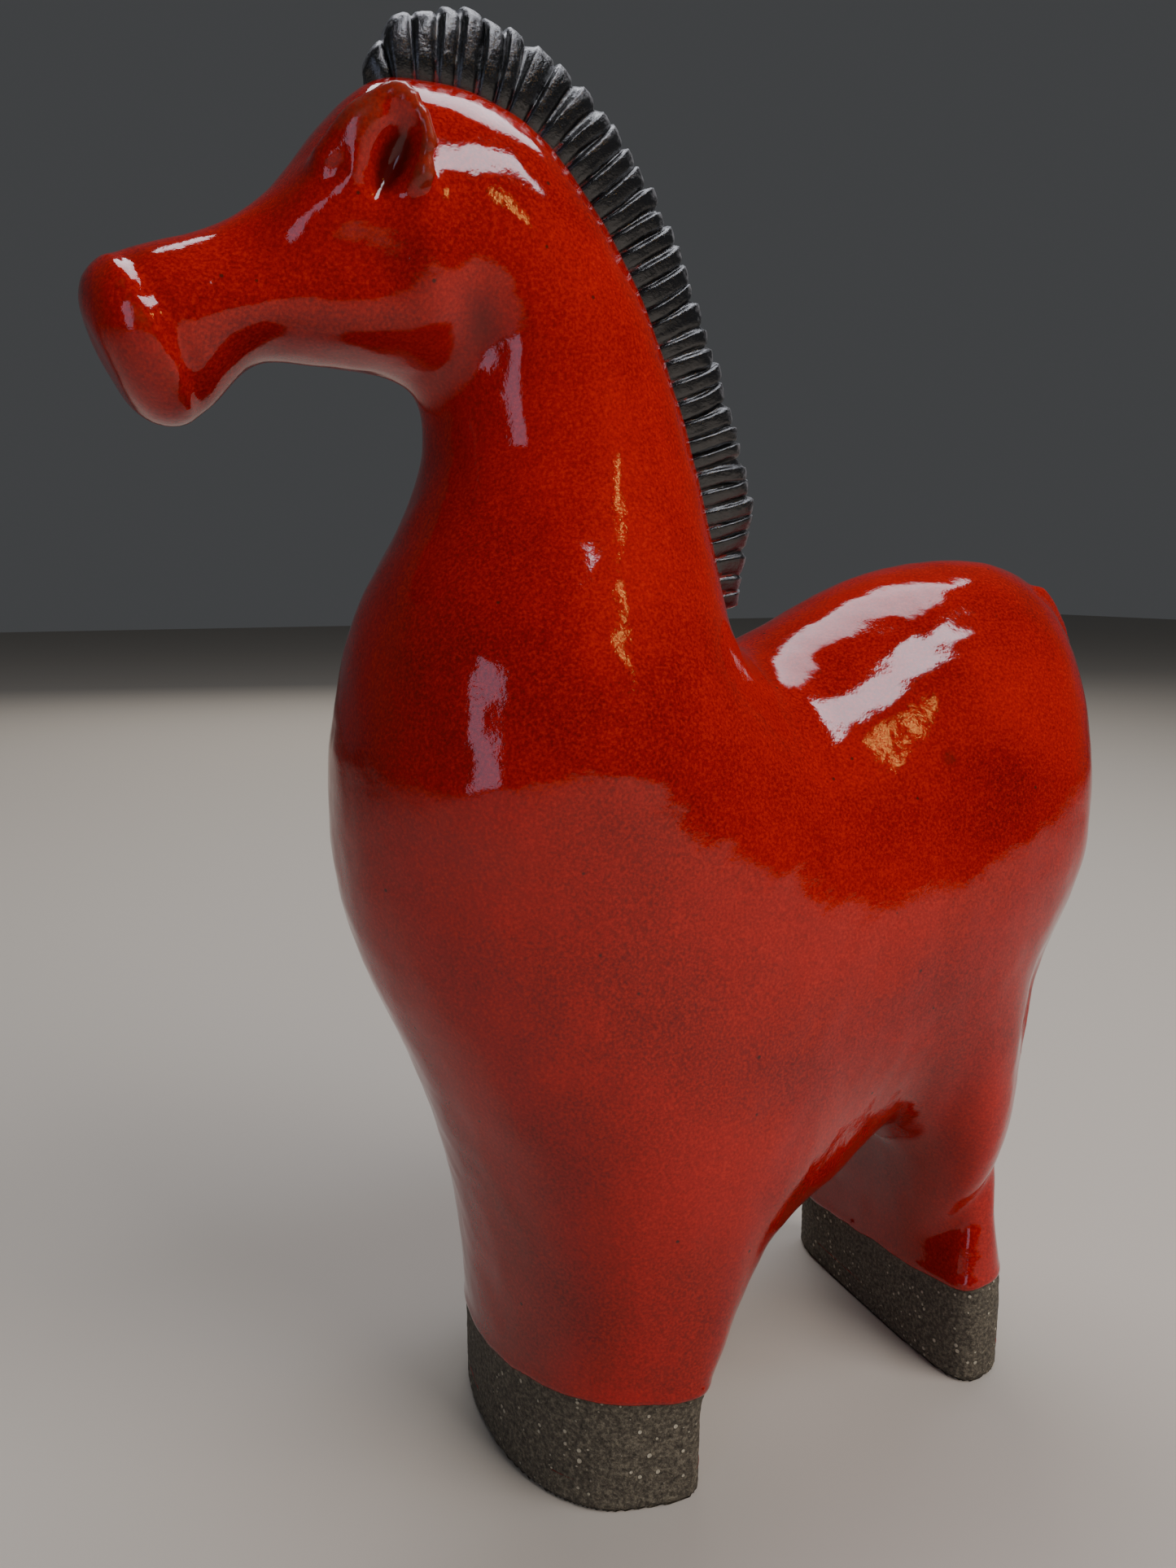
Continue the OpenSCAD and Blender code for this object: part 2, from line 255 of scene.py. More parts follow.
def makeRedGlaze():
    # iron red stoneware glaze, poured and fired: a thick glassy coat with fine mottling and a
    # slight orange peel, so the edges of reflections are ragged
    material, tree = newMaterial("ironRedStonewareGlaze")
    place = addNode(tree, "ShaderNodeTexCoord").outputs["Object"]
    fine = addNode(tree, "ShaderNodeTexNoise", {
        "Vector": place, "Scale": 1 / glaze["grain"], "Detail": 3.0, "Roughness": 0.6})
    broad = addNode(tree, "ShaderNodeTexNoise", {
        "Vector": place, "Scale": 1 / glaze["cloud"], "Detail": 3.0, "Roughness": 0.55})
    mottle = addNode(tree, "ShaderNodeValToRGB", {"Fac": fine.outputs["Fac"]},
                     stops=[(0.3, glaze["deep"]), (0.5, glaze["body"]), (0.7, glaze["bright"])])
    cloud = addNode(tree, "ShaderNodeValToRGB", {"Fac": broad.outputs["Fac"]},
                    stops=[(0.34, glaze["cloudDark"]), (0.62, glaze["cloudLight"])])
    base = addNode(tree, "ShaderNodeMixRGB", {
        "Fac": glaze["cloudShare"], "Color1": mottle.outputs["Color"], "Color2": cloud.outputs["Color"]})
    thick = addNode(tree, "ShaderNodeAttribute", attribute_name="hollow")
    pooled = addNode(tree, "ShaderNodeMixRGB", {
        "Fac": thick.outputs["Fac"], "Color1": base.outputs["Color"],
        "Color2": linearColour(glaze["pooled"])})
    edge = addNode(tree, "ShaderNodeAttribute", attribute_name="edge")
    breakUp = addNode(tree, "ShaderNodeTexNoise", {
        "Vector": place, "Scale": 1 / glaze["breakUp"], "Detail": 4.0, "Roughness": 0.7})
    ragged = addNode(tree, "ShaderNodeMath", {0: edge.outputs["Fac"], 1: breakUp.outputs["Fac"]},
                     operation="MULTIPLY")
    thinMask = addNode(tree, "ShaderNodeMapRange", {
        "Value": ragged.outputs[0], "From Min": 0.22, "From Max": 0.6, "To Max": glaze["thinShare"]})
    thinned = addNode(tree, "ShaderNodeMixRGB", {
        "Fac": thinMask.outputs["Result"], "Color1": pooled.outputs["Color"],
        "Color2": linearColour(glaze["thin"])})
    cells = addNode(tree, "ShaderNodeTexVoronoi", {"Vector": place, "Scale": 1 / glaze["speckGap"]})
    specks = addNode(tree, "ShaderNodeMapRange", {
        "Value": cells.outputs["Distance"], "From Min": 0.03, "From Max": 0.055,
        "To Min": 0.85, "To Max": 0.0})
    fromSpot = addNode(tree, "ShaderNodeVectorMath", {0: place, 1: glaze["spot"]}, operation="DISTANCE")
    spot = addNode(tree, "ShaderNodeMapRange", {
        "Value": fromSpot.outputs["Value"], "From Min": 1.2 * mm, "From Max": 3.5 * mm,
        "To Min": 0.7, "To Max": 0.0})
    marks = addNode(tree, "ShaderNodeMath", {0: specks.outputs["Result"], 1: spot.outputs["Result"]},
                    operation="MAXIMUM")
    marked = addNode(tree, "ShaderNodeMixRGB", {
        "Fac": marks.outputs[0], "Color1": thinned.outputs["Color"],
        "Color2": linearColour(glaze["speck"])})
    peel = addNode(tree, "ShaderNodeTexNoise", {
        "Vector": place, "Scale": 1 / glaze["peel"], "Detail": 4.0, "Roughness": 0.62})
    bump = addNode(tree, "ShaderNodeBump", {
        "Height": peel.outputs["Fac"], "Strength": 1.0, "Distance": glaze["peelDepth"]})
    rough = addNode(tree, "ShaderNodeMapRange", {
        "Value": thinMask.outputs["Result"], "To Min": glaze["roughness"],
        "To Max": glaze["thinRoughness"]})
    shader = addNode(tree, "ShaderNodeBsdfPrincipled", {
        "Base Color": marked.outputs["Color"], "Roughness": rough.outputs["Result"],
        "IOR": glaze["refraction"], "Normal": bump.outputs["Normal"]})
    addNode(tree, "ShaderNodeOutputMaterial", {"Surface": shader.outputs["BSDF"]})
    return material


clay = {
    "dark": "#342f28",
    "body": "#5a5347",
    "light": "#857d6b",
    "grog": "#c2baa5",
    "grain": 0.9 * mm,
    "grogGap": 1.9 * mm,
    "relief": 0.8 * mm,
    "roughness": 0.72,
    "refraction": 1.5,
}


def makeBareClay():
    # black-brown stoneware with grog, unglazed: dry and granular, with pale grains of fired clay
    material, tree = newMaterial("groggedBlackStoneware")
    place = addNode(tree, "ShaderNodeTexCoord").outputs["Object"]
    grain = addNode(tree, "ShaderNodeTexNoise", {
        "Vector": place, "Scale": 1 / clay["grain"], "Detail": 5.0, "Roughness": 0.7})
    tone = addNode(tree, "ShaderNodeValToRGB", {"Fac": grain.outputs["Fac"]},
                   stops=[(0.34, clay["dark"]), (0.5, clay["body"]), (0.66, clay["light"])])
    cells = addNode(tree, "ShaderNodeTexVoronoi", {
        "Vector": place, "Scale": 1 / clay["grogGap"], "Randomness": 1.0})
    chance = addNode(tree, "ShaderNodeSeparateColor", {"Color": cells.outputs["Color"]})
    radius = addNode(tree, "ShaderNodeMapRange", {
        "Value": chance.outputs["Red"], "From Min": 0.4, "From Max": 1.0,
        "To Min": 0.0, "To Max": 0.32})
    inside = addNode(tree, "ShaderNodeMath", {
        0: radius.outputs["Result"], 1: cells.outputs["Distance"]}, operation="SUBTRACT")
    grog = addNode(tree, "ShaderNodeMapRange", {
        "Value": inside.outputs[0], "From Min": 0.0, "From Max": 0.06})
    colour = addNode(tree, "ShaderNodeMixRGB", {
        "Fac": grog.outputs["Result"], "Color1": tone.outputs["Color"],
        "Color2": linearColour(clay["grog"])})
    height = addNode(tree, "ShaderNodeMath", {0: grain.outputs["Fac"], 1: grog.outputs["Result"]},
                     operation="ADD")
    bump = addNode(tree, "ShaderNodeBump", {
        "Height": height.outputs[0], "Strength": 1.0, "Distance": clay["relief"]})
    shader = addNode(tree, "ShaderNodeBsdfPrincipled", {
        "Base Color": colour.outputs["Color"], "Roughness": clay["roughness"],
        "IOR": clay["refraction"], "Normal": bump.outputs["Normal"]})
    addNode(tree, "ShaderNodeOutputMaterial", {"Surface": shader.outputs["BSDF"]})
    return material


maneCoat = {
    "black": "#101012",
    "grey": "#6a6c70",
    "red": "#7a1109",  # the body's glaze, run into the grooves
    "grain": 1.3 * mm,
    "relief": 0.2 * mm,
    "wetRoughness": 0.1,
    "dryRoughness": 0.42,
    "refraction": 1.9,
}


def makeManeGlaze():
    # manganese black glaze over combed clay: glassy and near metallic low on the sides and in
    # the grooves, dry and grey along the top
    material, tree = newMaterial("manganeseBlackGlaze")
    place = addNode(tree, "ShaderNodeTexCoord").outputs["Object"]
    rise = addNode(tree, "ShaderNodeAttribute", attribute_name="rise").outputs["Fac"]
    red = addNode(tree, "ShaderNodeAttribute", attribute_name="red").outputs["Fac"]
    grain = addNode(tree, "ShaderNodeTexNoise", {
        "Vector": place, "Scale": 1 / maneCoat["grain"], "Detail": 5.0, "Roughness": 0.7})
    patches = addNode(tree, "ShaderNodeMath", {0: rise, 1: grain.outputs["Fac"]}, operation="MULTIPLY")
    dryness = addNode(tree, "ShaderNodeMapRange", {
        "Value": patches.outputs[0], "From Min": 0.22, "From Max": 0.42})
    dark = addNode(tree, "ShaderNodeMixRGB", {
        "Fac": dryness.outputs["Result"], "Color1": linearColour(maneCoat["black"]),
        "Color2": linearColour(maneCoat["grey"])})
    redBreak = addNode(tree, "ShaderNodeMath", {0: red, 1: grain.outputs["Fac"]}, operation="MULTIPLY")
    redMask = addNode(tree, "ShaderNodeMapRange", {
        "Value": redBreak.outputs[0], "From Min": 0.28, "From Max": 0.42})
    colour = addNode(tree, "ShaderNodeMixRGB", {
        "Fac": redMask.outputs["Result"], "Color1": dark.outputs["Color"],
        "Color2": linearColour(maneCoat["red"])})
    rough = addNode(tree, "ShaderNodeMapRange", {
        "Value": dryness.outputs["Result"], "To Min": maneCoat["wetRoughness"],
        "To Max": maneCoat["dryRoughness"]})
    bump = addNode(tree, "ShaderNodeBump", {
        "Height": grain.outputs["Fac"], "Strength": 1.0, "Distance": maneCoat["relief"]})
    shader = addNode(tree, "ShaderNodeBsdfPrincipled", {
        "Base Color": colour.outputs["Color"], "Roughness": rough.outputs["Result"],
        "IOR": maneCoat["refraction"], "Normal": bump.outputs["Normal"]})
    addNode(tree, "ShaderNodeOutputMaterial", {"Surface": shader.outputs["BSDF"]})
    return material


redGlaze, bareClay, maneGlaze = makeRedGlaze(), makeBareClay(), makeManeGlaze()
print("materials made")

# body: the two half shells, the cap, the ears and the tail under one coat of glaze

body = {
    "voxel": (1.27 * mm),
    "softening": 110,  # rounds over the trunk
    "cut": 6.5 * mm,  # the legs end here, inside the feet
}
earRim = {
    # the pinched rim of the left ear in millimetres, from its front foot over the tip
    "path": [(-77, -11, 262), (-75, -14.5, 266), (-70.5, -19, 271.5), (-64.5, -23.5, 277),
             (-61.8, -25.5, 272), (-60.8, -26, 268), (-61.5, -24, 264)],
    "radius": [2.5, 3.6, 3.4, 1.7, 1.7, 1.5, 0.8],
    "rings": 31,
    "sides": 10,
    "root": 250,  # the leaf behind the rim is lowered towards this height
    "lowered": 0.86,
    "cutOff": 262,  # and ends here
    "hollow": (-65.5, -24, 266.5),
    "wide": 3.4,
    "high": 6,
    "through": 9,
    "deep": 4.6,
    "slant": 0.35,
}
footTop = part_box("fore_foot")[1].z
betweenLegs = (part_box("fore_foot")[1].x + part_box("hind_foot")[0].x) / 2
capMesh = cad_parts["muzzle_cap"].data
capJoint = max(capMesh.polygons, key=lambda p: p.area)  # the flat face where the cap is luted on
capPlace, capWay = capJoint.center.copy(), -capJoint.normal
capRadius = max((v.co - capPlace).length for v in capMesh.vertices) / mm


def largestIsland(bm):
    # of the separate skins, the one that reaches furthest to the side
    seen, islands = set(), []
    for start in bm.faces:
        if start in seen:
            continue
        island, stack = [], [start]
        seen.add(start)
        while stack:
            face = stack.pop()
            island.append(face)
            for edge in face.edges:
                for other in edge.link_faces:
                    if other not in seen:
                        seen.add(other)
                        stack.append(other)
        islands.append(island)
    return max(islands, key=lambda island: max(v.co.y for f in island for v in f.verts))


def outerSkin():
    # the outside of the two half shells: their rims on the centre plane and cut ends go, and
    # of the two skins that are left, the larger one stays
    bm = weldedCad("left_shell", "right_shell")
    same, nearCut = 1e-6, 2e-5
    doomed = [f for f in bm.faces if all(abs(v.co.y) < same for v in f.verts)
              or all(abs(v.co.z - footTop) < same for v in f.verts)
              or all(abs((v.co - capPlace).dot(capWay)) < nearCut for v in f.verts)]
    bmesh.ops.delete(bm, geom=doomed, context="FACES")
    keep = set(largestIsland(bm))
    bmesh.ops.delete(bm, geom=[f for f in bm.faces if f not in keep], context="FACES")
    bmesh.ops.delete(bm, geom=[v for v in bm.verts if not v.link_faces], context="VERTS")
    bmesh.ops.join_triangles(bm, faces=bm.faces, angle_face_threshold=0.9, angle_shape_threshold=1.2)
    rim = [e for e in bm.edges if e.is_boundary and all(abs(v.co.z - footTop) < same for v in e.verts)]
    steps = 3
    for _ in range(steps):  # the legs go on straight down to the ground
        made = bmesh.ops.extrude_edge_only(bm, edges=rim)["geom"]
        for v in made:
            if isinstance(v, bmesh.types.BMVert):
                v.co.z -= footTop / steps
        rim = [e for e in made if isinstance(e, bmesh.types.BMEdge)]
    return bm


def fillHoles(bm):
    bmesh.ops.holes_fill(bm, edges=[e for e in bm.edges if e.is_boundary], sides=0)


def levelCut(bm, height, up, geometry=None, **clear):
    # a level cut, through everything unless only some of it is given
    geometry = geometry or bm.faces[:] + bm.edges[:] + bm.verts[:]
    bmesh.ops.bisect_plane(bm, geom=geometry, dist=1e-7, plane_co=(0, 0, height), plane_no=(0, 0, up),
                           **clear)


def closedSkin():
    base = newObject("base", outerSkin())
    base.modifiers.new("round", "SUBSURF").levels = 2
    applyModifiers(base)
    bm = bmesh.new()
    bm.from_mesh(base.data)
    bpy.data.objects.remove(base)
    fillHoles(bm)
    bmesh.ops.recalc_face_normals(bm, faces=bm.faces)
    return bm


def addPiece(bm, name):
    # one of the CAD's smaller pieces, set into the skin
    piece = weldedCad(name)
    if "ear" in name:
        root = earRim["root"] * mm
        for v in piece.verts:
            v.co.z = root + (v.co.z - root) * earRim["lowered"]
        levelCut(piece, earRim["cutOff"] * mm, -1, clear_outer=True)
        fillHoles(piece)
    mesh = bpy.data.meshes.new(name)
    piece.to_mesh(mesh)
    piece.free()
    bm.from_mesh(mesh)
    bpy.data.meshes.remove(mesh)


def addEarRim(bm, side):
    # a tube that thickens and thins along the pinched rim
    path = np.array(earRim["path"]) * [1, side, 1] * mm
    radius = np.array(earRim["radius"]) * mm
    last = earRim["rings"] - 1
    fine = np.linspace(0, len(path) - 1, earRim["rings"])
    path = np.stack([np.interp(fine, range(len(radius)), path[:, k]) for k in range(3)], 1)
    for _ in range(2):
        path[1:-1] = (path[:-2] + 2 * path[1:-1] + path[2:]) / 4
    radius = np.interp(fine, range(len(radius)), radius)
    sides = earRim["sides"]
    rings = []
    for i, (p, r) in enumerate(zip(path, radius)):
        ahead = Vector(path[min(i + 1, last)] - path[max(i - 1, 0)]).normalized()
        across = ahead.cross(Vector((0, 1, 0))).normalized()
        inward = ahead.cross(across)
        rings.append([bm.verts.new(Vector(p) + float(r) * (math.cos(a) * across + math.sin(a) * inward))
                      for a in (math.tau * k / sides for k in range(sides))])
    tube = [bm.faces.new((one[k], one[(k + 1) % sides], two[(k + 1) % sides], two[k]))
            for one, two in zip(rings, rings[1:]) for k in range(sides)]
    tube += [bm.faces.new(rings[0]), bm.faces.new(rings[-1])]
    bmesh.ops.recalc_face_normals(bm, faces=tube)


baseClosed = closedSkin()
bm = baseClosed.copy()
for name in ("muzzle_cap", "left_ear", "right_ear", "tail"):
    addPiece(bm, name)
for side in (1, -1):  # left, then right
    addEarRim(bm, side)
print("base skin", len(bm.verts))

glazedBody = newObject("glazedBody", bm)
voxelRemesh(glazedBody, body["voxel"])
mesh = glazedBody.data
points = getPoints(mesh)
earLow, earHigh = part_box("left_ear")
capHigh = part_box("muzzle_cap")[1]
nearEar = smoothStep((points[:, 2] - earLow.z - 2 * mm) / (6 * mm)) * (np.abs(points[:, 1]) > 9 * mm) \
    * smoothStep((points[:, 0] - earLow.x + 6 * mm) / (4 * mm)) \
    * smoothStep((earHigh.x + 6 * mm - points[:, 0]) / (4 * mm))
nearCap = smoothStep((capHigh.x - points[:, 0] + 4 * mm) / (8 * mm))
relax(mesh, 6)
relax(mesh, 30, 1 - np.maximum(nearEar, nearCap * 0.9))  # crisp edges stay at the ears and the cap

# the trunk loses the CAD's broad creases; the hind legs and the head keep their own form
points = getPoints(mesh)
hindLeg = smoothStep((points[:, 0] - 45 * mm) / (15 * mm)) \
    * (1 - smoothStep((points[:, 2] - 85 * mm) / (25 * mm)))
trunk = smoothStep((points[:, 2] - 58 * mm) / (30 * mm)) \
    * (1 - smoothStep((points[:, 2] - 205 * mm) / (25 * mm))) * (1 - nearEar)
trunk *= 1 - hindLeg
soften(mesh, body["softening"], trunk)

# pressed and pinched places on the left side and the right: where in millimetres, half size
# along and up, depth inward; a negative depth stands out
pressed = [
    ((-50, -21, 240), (7, 9), 3.0),  # hollow behind the jaw
    ((-58, -20, 246), (5, 9), -1.4),  # corner of the jaw
    ((-76, -15, 241), (20, 4.5), -2.0),  # lower edge of the cheek
    ((-82, -17, 252), (20, 6), 1.5),  # flat of the cheek
    ((-60, -24, 258), (3.5, 10), -0.9),  # soft ridge from the ear to the jaw
    ((88, -38, 98), (22, 25), 7.4),  # back of the hind leg, above the hock
]
pressedReach = 14
bellyEdge = {"place": (38, -35, 62), "size": (15, 11, 13), "drop": 7}  # the sides hang lower there
tailRoot = {"wide": 12, "narrow": 4.5, "top": 192, "bottom": 138, "step": 1.6}


def offPlace(points, place, size):
    # squared distance from a place, in half sizes, the same on the left side and the right
    (x, y, z), (along, through, high) = place, size
    return ((points[:, 0] / mm - x) / along) ** 2 + ((points[:, 2] / mm - z) / high) ** 2 \
        + ((np.abs(points[:, 1]) / mm + y) / through) ** 2


points, normals = getPoints(mesh), getPoints(mesh, "normal")
for place, (along, high), depth in pressed:
    away = offPlace(points, place, (along, pressedReach, high))
    points -= normals * (depth * mm * np.exp(-away))[:, None]
away = offPlace(points, bellyEdge["place"], bellyEdge["size"])
points[:, 2] -= bellyEdge["drop"] * mm * np.exp(-away)

# the hollow face of each ear
x, y, z = earRim["hollow"]
slanted = points[:, 0] / mm - x - earRim["slant"] * (points[:, 2] / mm - z)
away = (slanted / earRim["wide"]) ** 2 + ((points[:, 2] / mm - z) / earRim["high"]) ** 2 \
    + ((np.abs(points[:, 1]) / mm + y) / earRim["through"]) ** 2
inside = earRim["deep"] * mm * np.exp(-away ** 1.5)
points[:, 1] -= np.sign(points[:, 1]) * inside
points[:, 0] += 0.2 * inside

# the tail's root, a strap that narrows down the rump
drop = np.clip((tailRoot["top"] - points[:, 2] / mm) / (tailRoot["top"] - tailRoot["bottom"]), 0, 1)
width = tailRoot["wide"] + (tailRoot["narrow"] - tailRoot["wide"]) * drop
strap = smoothStep((width - np.abs(points[:, 1]) / mm) / 2.2 + 0.5) * (points[:, 0] > 70 * mm)
strap *= smoothStep((tailRoot["top"] - points[:, 2] / mm) / 2.5 + 0.5) \
    * smoothStep((points[:, 2] / mm - tailRoot["bottom"]) / 20)
points += normals * (strap * tailRoot["step"] * mm)[:, None]
setPoints(mesh, points)
relax(mesh, 3)

# the muzzle's flat-domed end meets its side in a crisp rim, with a shallow groove behind it
muzzle = {
    "fullness": 0.95,
    "rim": 0.45,  # these are in millimetres
    "rimWidth": 1.0,
    "groove": 0.8,
    "grooveBack": 2.8,
    "grooveWidth": 1.8,
}
points, normals = getPoints(mesh), getPoints(mesh, "normal")
joint, outOfJoint = np.array(capPlace), np.array(capWay)
past = (points - joint) @ outOfJoint / mm  # how far out of the muzzle's joint each place is
aside = np.linalg.norm(points - joint - np.outer(past * mm, outOfJoint), axis=1) / mm
dome = past.max() * np.clip(1 - (aside / (capRadius + 0.2)) ** 2, 0, 1) ** muzzle["fullness"]
excess = np.where((past > 0) & (aside < 20), np.maximum(past - dome, 0), 0)
points -= np.outer(excess * mm, outOfJoint)
collar = muzzle["rim"] * np.exp(-((past - 0.1) / muzzle["rimWidth"]) ** 2) \
    - muzzle["groove"] * np.exp(-((past + muzzle["grooveBack"]) / muzzle["grooveWidth"]) ** 2)
collar *= np.linalg.norm(points - joint, axis=1) < 22 * mm
collar *= smoothStep(np.abs(points[:, 1]) / (9 * mm))
points += normals * (collar * mm)[:, None]
setPoints(mesh, points)
relax(mesh, 1)
print("modelled body", len(mesh.vertices))

# the glaze ends on a wavy line, given as a height for each place around the feet

glazeLine = {
    # near front, near rear, far front and far rear corner, in millimetres
    "fore_foot": (28, 24, 20, 21),
    "hind_foot": (24.5, 26, 17, 17),
    "wave": 1.0 * mm,
    "waveSize": 13 * mm,
    "low": 30 * mm,  # the line's shape is taken off in full up to here
    "fade": 50 * mm,
    "levels": (-1.2, -0.7, -0.2, 0.3, 0.8, 1.4, 2.2),  # cuts for the rolled edge, in millimetres
}
lineTop = glazeLine["low"] + glazeLine["fade"]


def lineHeight(points):
    heights = np.zeros(len(points))
    front = points[:, 0] <= betweenLegs
    for name, side in (("fore_foot", front), ("hind_foot", ~front)):
        low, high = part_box(name)
        u = np.clip((points[side, 0] - low.x) / (high.x - low.x), 0, 1)
        v = np.clip((points[side, 1] - low.y) / (high.y - low.y), 0, 1)
        nearFront, nearRear, farFront, farRear = glazeLine[name]
        heights[side] = mm * ((1 - v) * ((1 - u) * nearFront + u * nearRear)
                              + v * ((1 - u) * farFront + u * farRear))
    flat = points.copy()
    flat[:, 2] = 0
    return heights + glazeLine["wave"] * waves(flat, glazeLine["waveSize"], 5)


def lineShare(z):
    # how much of the line's height is taken off at this height
    return 1 - smoothStep((z - glazeLine["low"]) / glazeLine["fade"])


def lineNear(points):
    # the line's height for low places, where it matters
    low = points[:, 2] < lineTop
    line = np.zeros(len(points))
    line[low] = lineHeight(points[low])
    return line


# the line is made level for a moment, and cuts around it give the rolled edge its points
points = getPoints(mesh)
warped = points.copy()
warped[:, 2] -= lineNear(points) * lineShare(points[:, 2])
setPoints(mesh, warped)
bm = bmesh.new()
bm.from_mesh(mesh)
for level in glazeLine["levels"]:
    near = [f for f in bm.faces if abs(f.calc_center_median().z - level * mm) < 3 * mm]
    geometry = near + list({e for f in near for e in f.edges}) + list({v for f in near for v in f.verts})
    levelCut(bm, level * mm, 1, geometry)
bm.to_mesh(mesh)
bm.free()
points = getPoints(mesh)
line = lineNear(points)
height = points[:, 2].copy()
for _ in range(16):  # back to the wavy line, closer with every round
    height = (height + points[:, 2] + line * lineShare(height)) / 2
points[:, 2] = height
setPoints(mesh, points)
bm = bmesh.new()
bm.from_mesh(mesh)
levelCut(bm, body["cut"], -1, clear_outer=True)
fillHoles(bm)
bm.to_mesh(mesh)
bm.free()
mesh.update()

coat = {
    "thick": 0.35 * mm,  # glaze above the clay
    "tuck": 1.4 * mm,  # its lower edge goes this deep into the clay
    "bead": 0.25 * mm,  # extra thickness where it has run to its edge
    "lump": 0.4 * mm,  # hand-built unevenness
    "lumpSize": 26 * mm,
    "smallLump": 0.17 * mm,
    "smallLumpSize": 9 * mm,
    "run": 0.06 * mm,  # how far the runs stand out where it flowed down the legs
    "runWidth": 3.4 * mm,
    "runTop": 70 * mm,
    "runFade": 60 * mm,
}
points, normals = getPoints(mesh), getPoints(mesh, "normal")
above = (points[:, 2] - lineHeight(points)) / mm
thickness = coat["thick"] + coat["bead"] * np.exp(-((above - 1.3) / 1.3) ** 2)
rise = smoothStep((above + 1.1) / 1.7)
offset = -coat["tuck"] * (1 - rise) + thickness * rise
lumps = coat["lump"] * waves(points, coat["lumpSize"], 2) \
    + coat["smallLump"] * waves(points, coat["smallLumpSize"], 3)
offset += lumps * smoothStep((above + 0.5) / 12)
runs = waves(points * [1, 1, 0.09], coat["runWidth"], 21, 1) * (0.5 + 0.5 * waves(points, 40 * mm, 22, 1))
lowerHalf = 1 - smoothStep((points[:, 2] - coat["runTop"]) / coat["runFade"])
offset += coat["run"] * runs * smoothStep((above - 2) / 8) * lowerHalf
normals[points[:, 2] < body["cut"] + 0.1 * mm] = 0
setPoints(mesh, points + normals * offset[:, None])

# how far each place bulges or sinks against its surroundings, for the thin and thick glaze
points, normals, edges = getPoints(mesh), getPoints(mesh, "normal"), getEdges(mesh)
blurred = points.copy()
for _ in range(10):
    blurred = neighbourMean(blurred, edges)
bulge = ((points - blurred) * normals).sum(1) / mm
for _ in range(2):
    bulge = neighbourMean(bulge[:, None], edges)[:, 0]
offTheLegs = smoothStep((points[:, 2] - 60 * mm) / (20 * mm))
setAttribute(mesh, "edge", np.clip((bulge - 0.4) / 0.6, 0, 1) * offTheLegs)
setAttribute(mesh, "hollow", np.clip((-bulge - 0.08) / 0.5, 0, 1) * offTheLegs)
mesh.materials.clear()
mesh.materials.append(redGlaze)
shadeSmooth(glazedBody)
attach(glazedBody, "root")
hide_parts("left_shell", "right_shell", "muzzle_cap", "left_ear", "right_ear", "tail")
print("body done", len(mesh.vertices))

# feet: bare clay, from the ground to just inside the glaze

foot = {
    "voxel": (0.7 * mm),
    "top": 35 * mm,
    "wear": 1.5 * mm,  # rounded lower edge
    "grain": 0.17 * mm,
    "grainSize": 1.6 * mm,
    "coarseSize": 4 * mm,
    "lump": 0.3 * mm,
    "lumpSize": 22 * mm,
    "under": 1.6 * mm,  # how far the clay draws in under the glaze
}


def makeFoot(name, node, soleNode, xFrom, xTo):
    bm = baseClosed.copy()
    levelCut(bm, foot["top"], 1, clear_outer=True)
    bmesh.ops.delete(bm, geom=[v for v in bm.verts if not xFrom < v.co.x < xTo], context="VERTS")
    fillHoles(bm)
    bmesh.ops.recalc_face_normals(bm, faces=bm.faces)
    obj = newObject(name, bm)
    voxelRemesh(obj, foot["voxel"])
    mesh = obj.data
    relax(mesh, 6)
    points, normals = getPoints(mesh), getPoints(mesh, "normal")
    points[:, 2] -= points[:, 2].min()
    lift = np.clip(points[:, 2] / foot["wear"], 0, 1)
    pull = foot["wear"] * (1 - np.sqrt(np.clip(1 - (1 - lift) ** 2, 0, 1)))
    outward = normals * [1, 1, 0]
    side = np.linalg.norm(outward, axis=1)
    wall = side > 0.5
    points[wall] -= outward[wall] / side[wall, None] * pull[wall, None]
    grain = foot["grain"] * (waves(points, foot["grainSize"], 8) + 0.6 * waves(points, foot["coarseSize"], 9))
    grain *= smoothStep(points[:, 2] / (1.2 * mm))
    points += normals * grain[:, None]
    lumps = foot["lump"] * waves(points, foot["lumpSize"], 11) * smoothStep(points[:, 2] / (3 * mm))
    points += normals * lumps[:, None]
    under = smoothStep((points[:, 2] - lineHeight(points) - 1.2 * mm) / (1.5 * mm))
    points -= normals * (foot["under"] * under)[:, None]
    points[:, 2] = np.maximum(points[:, 2], 0)
    setPoints(mesh, points)
    mesh.materials.clear()
    mesh.materials.append(bareClay)
    shadeSmooth(obj)
    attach(obj, "root")
    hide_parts(node, soleNode)
    print(name, len(mesh.vertices))


makeFoot("foreFoot", "fore_foot", "fore_sole", -1, betweenLegs)
makeFoot("hindFoot", "hind_foot", "hind_sole", betweenLegs, 1)

# mane: a strap along the crest of the neck, combed across into sharp ridges

